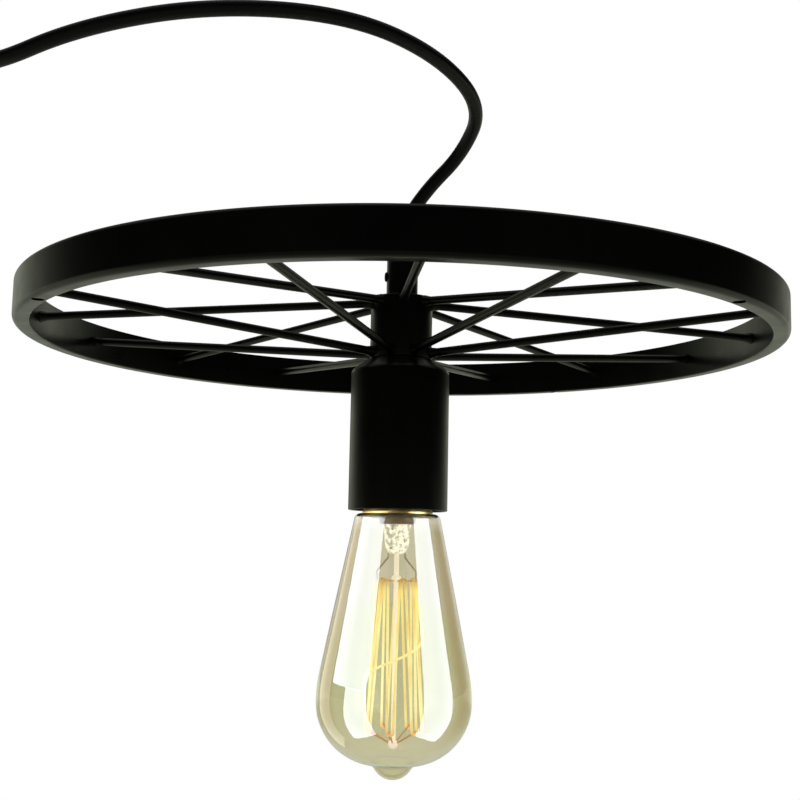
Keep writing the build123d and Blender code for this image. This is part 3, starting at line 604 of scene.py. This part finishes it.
def glass_profile():
    """The outside from the neck down to the sealed tip, as (radius, height)."""
    taper = math.atan2(BELLY_RADIUS - SHOULDER_RADIUS, BELLY_DEPTH - SHOULDER_DEPTH - BELLY_BLEND / 2)
    shoulder_z, belly_z = CAP - SHOULDER_DEPTH, CAP - BELLY_DEPTH
    neck = [(NECK_RADIUS, CAP + NECK_HEIGHT), (NECK_RADIUS, CAP)]
    crown = [(CROWN_RADIUS, CAP), (SHOULDER_RADIUS, shoulder_z)]
    shoulder = rounded(neck + crown, [0, NECK_ROUNDING, SHOULDER_ROUNDING, 0], 12)
    points = [shoulder[0], (NECK_RADIUS, CAP + NECK_ROW)] + shoulder[1:]
    end_radius = BELLY_RADIUS - BELLY_BLEND * math.tan(taper / 2)
    end_z = belly_z + BELLY_BLEND
    for k in range(1, TAPER_STEPS + 1):
        share = k / TAPER_STEPS
        radius = SHOULDER_RADIUS + (end_radius - SHOULDER_RADIUS) * share
        points.append((radius, shoulder_z + (end_z - shoulder_z) * share))
    big = BELLY_BLEND / math.sin(taper)
    for k in range(1, BLEND_STEPS + 1):
        a = taper * (1 - k / BLEND_STEPS)
        points.append((BELLY_RADIUS - big * (1 - math.cos(a)), belly_z + big * math.sin(a)))
    for k in range(1, DOME_STEPS + 1):
        a = DOME_SWEEP * k / DOME_STEPS
        points.append((BELLY_RADIUS - DOME_RADIUS * (1 - math.cos(a)), belly_z - DOME_RADIUS * math.sin(a)))
    edge = belly_z - DOME_RADIUS * math.sin(DOME_EDGE)
    points += [(radius, edge + drop) for radius, drop in TIP_FILLET]
    nub = (NUB_RADIUS**2 + NUB_HEIGHT**2) / (2 * NUB_HEIGHT)
    for k in range(NUB_STEPS + 1):
        a = math.asin(NUB_RADIUS / nub) * (1 - k / NUB_STEPS)
        points.append((nub * math.sin(a), edge - NUB_DROP + nub * (1 - math.cos(a))))
    return points


def inset(points, wall):
    """The same profile, a wall's thickness further in, down to its tip on the axis."""
    made = []
    for i, (radius, height) in enumerate(points):
        a = Vector(points[max(i - 1, 0)])
        b = Vector(points[min(i + 1, len(points) - 1)])
        d = (b - a).normalized()
        made.append((max(radius + wall * d.y, 0.0), height - wall * d.x))
    made[-1] = (0.0, points[-1][1] + wall)
    return made


outer_wall = glass_profile()
inner_wall = inset(outer_wall, GLASS_WALL)
envelope = lathe("bulb_envelope", outer_wall + list(reversed(inner_wall)), 128)
glass = add("bulb_envelope", envelope, GLASS, "lamp", smooth=60)
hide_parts("bulb_glass")


# Stem: flare darkened with painted shade, pressed foot with the wires sealed in it, and the rod with its two
# beads
FLARE_OUTLINE = [
    (10, 8.2), (10, 7.4), (8.6, 6.6), (7.4, 5.2), (7.2, 3), (7.2, -3.6), (6.8, -4.2),
    (5.9, -4.2), (6.0, 3), (6.3, 5.6), (7.8, 7.6), (8.0, 8.2),
]
PRESS_SECTIONS = [
    (5.6, 5.6, -3.9), (5.5, 5.0, -5.4), (5.2, 4.0, -7.4), (5.0, 3.0, -9.4),
    (4.9, 2.2, -11.4), (4.5, 1.9, -13.4), (3.7, 1.6, -15.0), (2.2, 1.2, -15.8),
]
ROD_RADIUS = 1.0
ROD_TOP, ROD_SHOULDER, ROD_FOOT = CAP - 15.4, CAP - 15.6, CAGE_BASE - 6.6
ROD_BEADS = (CAGE_TOP, CAGE_BASE - 5)
BEAD_SWELL, BEAD_HALF, BEAD_STEPS = 0.95, 1.5, 12
SEALED_ROUTE = [
    (2.2, 0, 5), (2.4, 0.4, -3), (4.4, -0.3, -7), (3.0, 0.2, -10.5), (3.3, 0, -13), (3.33, 0, -15.2),
]
SEALED_RADIUS = 0.42


def rod_profile():
    points = [(0, ROD_TOP), (ROD_RADIUS, ROD_SHOULDER)]
    for bead in ROD_BEADS:
        for k in range(BEAD_STEPS + 1):
            a = math.pi * k / BEAD_STEPS
            points.append((ROD_RADIUS + BEAD_SWELL * math.sin(a), bead + BEAD_HALF * math.cos(a)))
    points.append((0, ROD_FOOT))
    return points


flare_mesh = lathe("stem_flare", [(radius, CAP + z) for radius, z in FLARE_OUTLINE], 64)
flare = add("stem_flare", flare_mesh, FLARE, "lamp", smooth=50)
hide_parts("bulb_stem")
press_mesh = loft("stem_press", [(a, b, CAP + z) for a, b, z in PRESS_SECTIONS])
add("stem_press", press_mesh, PRESS, "lamp", smooth=50)
rod_mesh = lathe("stem_rod", rod_profile(), 24, closed=False)
add("stem_rod", rod_mesh, STEM_PAINTED_GLOW, "lamp", smooth=60)
for name, side in (("sealed_wire_a", 1), ("sealed_wire_b", -1)):
    route = [(side * x * MM, y * MM, (CAP + z) * MM) for x, y, z in SEALED_ROUTE]
    sealed = tube("sealed_wire", spline_points("sealed", route, 8), SEALED_RADIUS * MM, 10)
    add(name, sealed, COPPER, "lamp")


# Lamp cap and screw shell: drawn brass with the round thread of an E27 lamp
THREAD_PITCH = 25.4 / 7
THREAD_STEP = 0.2  # height between two rows of points along a thread
CAP_RADIUS, CAP_THREAD, CAP_WALL = 13.2, 0.65, 0.45
CAP_ROWS = (2.6, 16.2)
CAP_THREAD_ENDS = (CAP + 2.4, CAP + 16.4)
SKIRT_OUTLINE = [(14.0, 0), (14.0, 0.7), (13.75, 1.3), (13.3, 1.9), (CAP_RADIUS, 2.3)]
CAP_TOP_OUTLINE = [(13.0, 17.0), (12.4, 18.4), (11.7, 19.6), (11.3, 20.3), (11.0, 20.6)]
SHELL_RADIUS, SHELL_THREAD, SHELL_WALL = 14.25, 0.3, 0.35
SHELL_BASE, SHELL_TOP = -379.8, -357.6
SHELL_THREAD_ENDS = (-379.0, -358.0)
SHELL_TOP_OUTLINE = [(7.0, -356.95), (14.2, -356.95), (14.2, SHELL_TOP), (7.0, SHELL_TOP)]


def thread_rows(radius, base, top):
    """Points up a straight wall, close enough together to carry a thread."""
    count = round((top - base) / THREAD_STEP)
    return [(radius, base + THREAD_STEP * k) for k in range(count + 1)]


def thread_shell(name, profile, depth, ends, wall, segments=96):
    """A thin shell of revolution whose wall rises and falls along a right-hand helix between two heights."""
    from_z, to_z = ends
    bm = bmesh.new()
    rings = []
    for radius, z in profile + [(radius - wall, z) for radius, z in reversed(profile)]:
        fade = min(1, max(0, (z - from_z) / THREAD_PITCH), max(0, (to_z - z) / THREAD_PITCH))
        row = []
        for t in turns(segments):
            wave = 0.5 - 0.5 * math.cos(2 * math.pi * z / THREAD_PITCH - t)
            r = (radius - fade * wave * depth) * MM
            row.append(bm.verts.new((r * math.cos(t), r * math.sin(t), z * MM)))
        rings.append(row)
    bridge(bm, rings, closed=True)
    return mesh_of(bm, name)


cap_outline = SKIRT_OUTLINE + thread_rows(CAP_RADIUS, *CAP_ROWS) + CAP_TOP_OUTLINE
cap_profile = [(radius, CAP + z) for radius, z in cap_outline]
cap_mesh = thread_shell("threaded_cap", cap_profile, CAP_THREAD, CAP_THREAD_ENDS, CAP_WALL)
cap = add("threaded_cap", cap_mesh, BRASS, "lamp", smooth=70)
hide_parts("lamp_cap")
shell_profile = thread_rows(SHELL_RADIUS, SHELL_BASE, SHELL_TOP)
shell_mesh = thread_shell("threaded_shell", shell_profile, SHELL_THREAD, SHELL_THREAD_ENDS, SHELL_WALL)
shell = add("threaded_shell", shell_mesh, BRASS, "pendant", smooth=70)
add("shell_top", lathe("shell_top", SHELL_TOP_OUTLINE, 96), BRASS, "pendant")
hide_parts("screw_shell")


# Wheel rim, hub, cup and rose cover, with softly rounded edges under the powder coat
RIM_HALF = 8
RIM_TOP, RIM_BASE = WHEEL + RIM_HALF, WHEEL - RIM_HALF
VENT_ANGLES = (54.8, 209.8, 314.8)
VENT_RADIUS, VENT_DEPTH = 2.2, 5
HUB_TOP = -298.2
HUB_BORE = 10.5
CUP_RADIUS, CUP_BASE, CUP_WALL = 19.8, -384.2, 1
CUP_SHOULDER = HUB_BASE - 5
CUP_INSIDE, CUP_CEILING = CUP_RADIUS - CUP_WALL, HUB_BASE - CUP_WALL
INNER_CROWN, INNER_SHOULDER = 12.1, HUB_BASE - 5.6
COVER_RADIUS, COVER_BASE, COVER_WALL = 50, -25, 1
COVER_INSIDE, COVER_FLOOR = COVER_RADIUS - COVER_WALL, COVER_BASE + COVER_WALL


def drilled(mesh, holes, radius, base, depth):
    """The mesh with blind round holes, each at (x, y) in metres, cut upwards from its base."""
    blank = bpy.data.objects.new("blank", mesh)
    scene.collection.objects.link(blank)
    cutters = []
    for x, y in holes:
        bm = bmesh.new()
        bmesh.ops.create_cone(
            bm, cap_ends=True, segments=32, radius1=radius * MM, radius2=radius * MM, depth=2 * depth * MM
        )
        bmesh.ops.translate(bm, verts=bm.verts, vec=(x, y, base * MM))
        cutter_mesh = bpy.data.meshes.new("cutter")
        bm.to_mesh(cutter_mesh)
        bm.free()
        cutter = bpy.data.objects.new("cutter", cutter_mesh)
        scene.collection.objects.link(cutter)
        cut = blank.modifiers.new("cut", "BOOLEAN")
        cut.operation = "DIFFERENCE"
        cut.solver = "EXACT"
        cut.object = cutter
        cutters.append(cutter)
    made = evaluated(blank)
    made.materials.clear()
    for gone in [blank] + cutters:
        bpy.data.objects.remove(gone)
    return made


def coated(name, mesh, body, node):
    piece = add(name, mesh, COAT, body, smooth=30)
    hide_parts(node)


rim_section = rounded(
    [(RIM_RADIUS, RIM_BASE), (RIM_RADIUS, RIM_TOP), (RIM_INSIDE, RIM_TOP), (RIM_INSIDE, RIM_BASE)],
    [2, 2, 0.5, 0.5],
    8,
)
vents = [ring((RIM_RADIUS + RIM_INSIDE) / 2, angle, RIM_BASE).xy for angle in VENT_ANGLES]
rim_mesh = drilled(lathe("rim_blank", rim_section, 288), vents, VENT_RADIUS, RIM_BASE, VENT_DEPTH)
coated("rim", rim_mesh, "pendant", "wheel_rim")

hub_section = rounded(
    [(HUB_RADIUS, HUB_BASE), (HUB_RADIUS, HUB_TOP), (HUB_BORE, HUB_TOP), (HUB_BORE, HUB_BASE)],
    [0.4, 0.5, 0.3, 0.3],
    4,
)
coated("hub", lathe("hub", hub_section, 96), "pendant", "hub_tube")

cup_section = rounded(
    [
        (NIPPLE_HOLE, HUB_BASE), (HUB_RADIUS, HUB_BASE), (CUP_RADIUS, CUP_SHOULDER), (CUP_RADIUS, CUP_BASE),
        (CUP_INSIDE, CUP_BASE), (CUP_INSIDE, INNER_SHOULDER),
        (INNER_CROWN, CUP_CEILING), (NIPPLE_HOLE, CUP_CEILING),
    ],
    [0, 3, 3, 0.35, 0.35, 2, 2, 0],
    8,
)
coated("cup", lathe("cup", cup_section, 128), "pendant", "lampholder_cup")

cover_section = rounded(
    [
        (NIPPLE_HOLE, COVER_BASE), (COVER_RADIUS, COVER_BASE), (COVER_RADIUS, 0),
        (COVER_INSIDE, 0), (COVER_INSIDE, COVER_FLOOR), (NIPPLE_HOLE, COVER_FLOOR),
    ],
    [0, 6, 0.4, 0.4, 5, 0],
    10,
)
coated("cover", lathe("cover", cover_section, 160), "rose_canopy", "rose_cover")


# Clamp screws of the two grips: domed heads with a round socket, on the left side
SCREW_OUTLINE = [
    (0, 3.05), (2.0, 3.05), (2.0, 6.5), (1.93, 6.8), (1.68, 7.05), (1.25, 7.2),
    (0.85, 7.25), (0.75, 7.15), (0.75, 6.5), (0, 6.3),
]
TO_THE_LEFT = Matrix.Rotation(math.radians(-90), 4, "Y")
CLAMP_SCREWS = (("grip_screw", "pendant", -289.2), ("rose_grip_screw", "rose_canopy", -34.0))
for node, body, height in CLAMP_SCREWS:
    mesh = lathe(node + "_head", SCREW_OUTLINE, 32, closed=False)
    mesh.transform(Matrix.Translation((0, 0, height * MM)) @ TO_THE_LEFT)
    screw = add(node + "_head", mesh, BLACK_STEEL, body, smooth=40)
    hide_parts(node)


# Weld beads where the spokes meet the hub and the rim
SPOKES = 8
SPOKE_RADIUS = 1.75
WELD_RADIUS = 0.5
WELD_SHIFT = 0.25
WELD_STEPS, WELD_SIDES = 20, 8
SPOKE_LAYERS = ((-300.5, 0), (-320.9, 22.5))  # height on the hub and first angle


def weld(bm, centre, axis, seed):
    """An uneven ring of weld round a spoke's end."""
    side = axis.orthogonal().normalized()
    across = axis.cross(side)
    rings = []
    for t in turns(WELD_STEPS):
        out = math.cos(t) * side + math.sin(t) * across
        bead = WELD_RADIUS * (1 + 0.12 * math.sin(5 * t + seed) + 0.08 * math.sin(9 * t + 2 * seed))
        row = []
        for u in turns(WELD_SIDES):
            spot = (SPOKE_RADIUS + bead * math.cos(u)) * out + bead * math.sin(u) * axis
            row.append(bm.verts.new(centre + spot * MM))
        rings.append(row)
    bridge(bm, rings, closed=True)


hub_welds, rim_welds = bmesh.new(), bmesh.new()
for layer, (hub_z, first_angle) in enumerate(SPOKE_LAYERS):
    for number in range(SPOKES):
        angle = first_angle + 360 / SPOKES * number
        inner_end, outer_end = ring(HUB_RADIUS, angle, hub_z), ring(RIM_INSIDE, angle, WHEEL)
        along = (outer_end - inner_end).normalized()
        weld(hub_welds, inner_end + along * WELD_SHIFT * MM, along, number + layer)
        weld(rim_welds, outer_end - along * WELD_SHIFT * MM, along, number * 2 + layer)
for name, bm in (("hub_welds", hub_welds), ("rim_welds", rim_welds)):
    add(name, mesh_of(bm, name), COAT, "pendant", smooth=60)


# Room: white backdrop and pale floor, in metres
ROOM_TINT = (0.95, 1.0, 0.80)
BACKDROP_WAY = (-0.06, 0.89, -0.44)
BACKDROP_LEVELS = [(0.17, 0.01), (0.35, 0.1), (0.5, 0.34), (0.61, 0.7), (0.72, 0.8), (0.9, 0.5)]
SIDES_FROM, SIDES_TO, MIDDLE_LEVEL = 0.15, 0.42, 0.15  # the backdrop is dimmer in a band down its middle
FLOOR_HEIGHT = -1.5
FLOOR_REACH = 30
FADE_FROM, FADE_TO, NEAR_SHARE = 1.0, 3.5, 0.66  # the floor turns all white away from the object
MIRROR_FROM, MIRROR_TO = -0.6, 11.4  # depths between which the floor's share in mirrors is given
MIRROR_SHARES = [
    (0.0, 0.12), (0.03, 0.48), (0.13, 0.58), (0.26, 0.42), (0.45, 0.42), (0.62, 0.5), (0.82, 0.9),
]


def backdrop():
    """White to the camera and through glass; to paint and metal, bright behind and below, dim in front."""
    world = bpy.data.worlds.new("studio")
    scene.world = world
    world.use_nodes = True
    world.node_tree.nodes.clear()
    graph = Graph(world.node_tree)
    out = graph.node("ShaderNodeOutputWorld")
    way = graph.place("Generated")
    behind = graph.maths("DOT_PRODUCT", way, BACKDROP_WAY, kind="ShaderNodeVectorMath")
    bright = graph.ramp(behind, BACKDROP_LEVELS)
    aside = graph.maths("ABSOLUTE", graph.along(way, "X"))
    sides = graph.between(aside, SIDES_FROM, SIDES_TO, MIDDLE_LEVEL, 1.0)
    room = graph.node("ShaderNodeBackground", Color=(*ROOM_TINT, 1))
    graph.link(graph.maths("MULTIPLY", bright, sides), room.inputs["Strength"])
    white = graph.node("ShaderNodeBackground", Color=(1, 1, 1, 1), Strength=1.0)
    path = graph.node("ShaderNodeLightPath").outputs
    seen = graph.maths("MAXIMUM", path["Is Camera Ray"], path["Is Transmission Ray"])
    graph.link(graph.mix_shaders(seen, room.outputs[0], white.outputs[0]), out.inputs["Surface"])


def pale_floor():
    """A floor far below, white in the distance, that keeps part of its shading under the object."""
    m = Mat("floor", (0.86, 0.86, 0.85), Roughness=0.8)
    m.colour_from(m.noise(3, 3), [(0.3, (0.85, 0.85, 0.84)), (0.7, (0.88, 0.88, 0.87))])
    path = m.node("ShaderNodeLightPath").outputs
    where = m.place("Object")
    depth = m.between(m.along(where, "Y"), MIRROR_FROM, MIRROR_TO)
    mirrored = m.maths("MULTIPLY", path["Is Glossy Ray"], m.ramp(depth, MIRROR_SHARES))
    seen = m.maths("MAXIMUM", path["Is Camera Ray"], mirrored)
    seen = m.maths("MAXIMUM", seen, path["Is Transmission Ray"])
    away = m.maths("LENGTH", where, kind="ShaderNodeVectorMath")
    fade = m.between(away, FADE_FROM, FADE_TO, NEAR_SHARE, 1.0)
    share = m.maths("MULTIPLY", seen, fade)
    light = m.node("ShaderNodeEmission", Strength=1.0)
    m.link(m.mix(path["Is Glossy Ray"], (1, 1, 1, 1), (*ROOM_TINT, 1)), light.inputs["Color"])
    surface = m.mix_shaders(share, m.shader.outputs[0], light.outputs[0])
    m.link(surface, m.tree.nodes["Material Output"].inputs["Surface"])
    square = [(-1, -1), (1, -1), (1, 1), (-1, 1)]
    corners = [(x * FLOOR_REACH, y * FLOOR_REACH, FLOOR_HEIGHT) for x, y in square]
    mesh = bpy.data.meshes.new("floor")
    mesh.from_pydata(corners, [], [(0, 1, 2, 3)])
    mesh.materials.append(m.mat)
    floor = bpy.data.objects.new("floor", mesh)
    scene.collection.objects.link(floor)
    return floor


# Lamps, in metres and watts
WHEEL_SPOT = (0, 0, -0.33)
FRONT_SPOT = (0, 0, -0.25)
BULB_MIDDLE = Vector((0, 0, -0.44))
CARD_AWAY = 0.62
CARD_WHITE = (0.775, 0.86, 1.0)
CARD_HAZE = (1.0, 0.93, 0.78)
MIRRORING = (
    "bulb_envelope", "threaded_cap", "stem_flare", "stem_press", "stem_rod",
    "sealed_wire_a", "sealed_wire_b",
)


def lamp(name, place, target, size, watts):
    data = bpy.data.lights.new(name, "AREA")
    data.shape = "RECTANGLE"
    data.size, data.size_y = size
    data.energy = watts
    obj = bpy.data.objects.new(name, data)
    scene.collection.objects.link(obj)
    obj.location = place
    obj.rotation_euler = (Vector(target) - Vector(place)).to_track_quat("-Z", "Y").to_euler()
    return obj


def front_light(floor):
    """Plain light on the front of the object alone, which paint and glass don't mirror."""
    not_floor = bpy.data.collections.new("not_floor")
    not_floor.objects.link(floor)
    not_floor.collection_objects[0].light_linking.link_state = "EXCLUDE"
    for name, x in (("front_left", -2.0), ("front_right", 2.0)):
        front = lamp(name, (x, -2.2, 0.2), FRONT_SPOT, (2.4, 2.4), 36)
        front.visible_glossy = False
        front.light_linking.receiver_collection = not_floor


def card(name, side, azimuth, elevation, width, height, bright, seen_by, colour=CARD_WHITE):
    """A card near the bulb, given by angles and half angles, that only the bulb mirrors."""
    az, el = math.radians(azimuth), math.radians(elevation)
    way = Vector((side * math.sin(az) * math.cos(el), -math.cos(az) * math.cos(el), math.sin(el)))
    size = [2 * CARD_AWAY * math.tan(math.radians(half)) for half in (width, height)]
    watts = bright * math.pi * size[0] * size[1]
    obj = lamp(name, BULB_MIDDLE + CARD_AWAY * way, BULB_MIDDLE, size, watts)
    obj.data.color = colour
    obj.light_linking.receiver_collection = seen_by
    obj.visible_camera = False
    obj.visible_transmission = False


backdrop()
floor = pale_floor()
lamp("key", (-0.8, 0.6, 2.4), WHEEL_SPOT, (3.4, 3.4), 11)
lamp("fill", (0.8, 0.7, 2.4), WHEEL_SPOT, (3.4, 3.4), 8.5)
front_light(floor)
bulb_pieces = bpy.data.collections.new("bulb_pieces")
for name in MIRRORING:
    bulb_pieces.objects.link(bpy.data.objects[name])
card("left_high_card", -1, 75, 26, 32, 22, 15.4, bulb_pieces)
card("left_low_card", -1, 61, -24, 19, 28.5, 15.4, bulb_pieces)
card("left_haze_card", -1, 125, 5, 16, 50, 2.1, bulb_pieces, CARD_HAZE)
card("right_card", 1, 65, -4, 25, 49, 14.9, bulb_pieces)
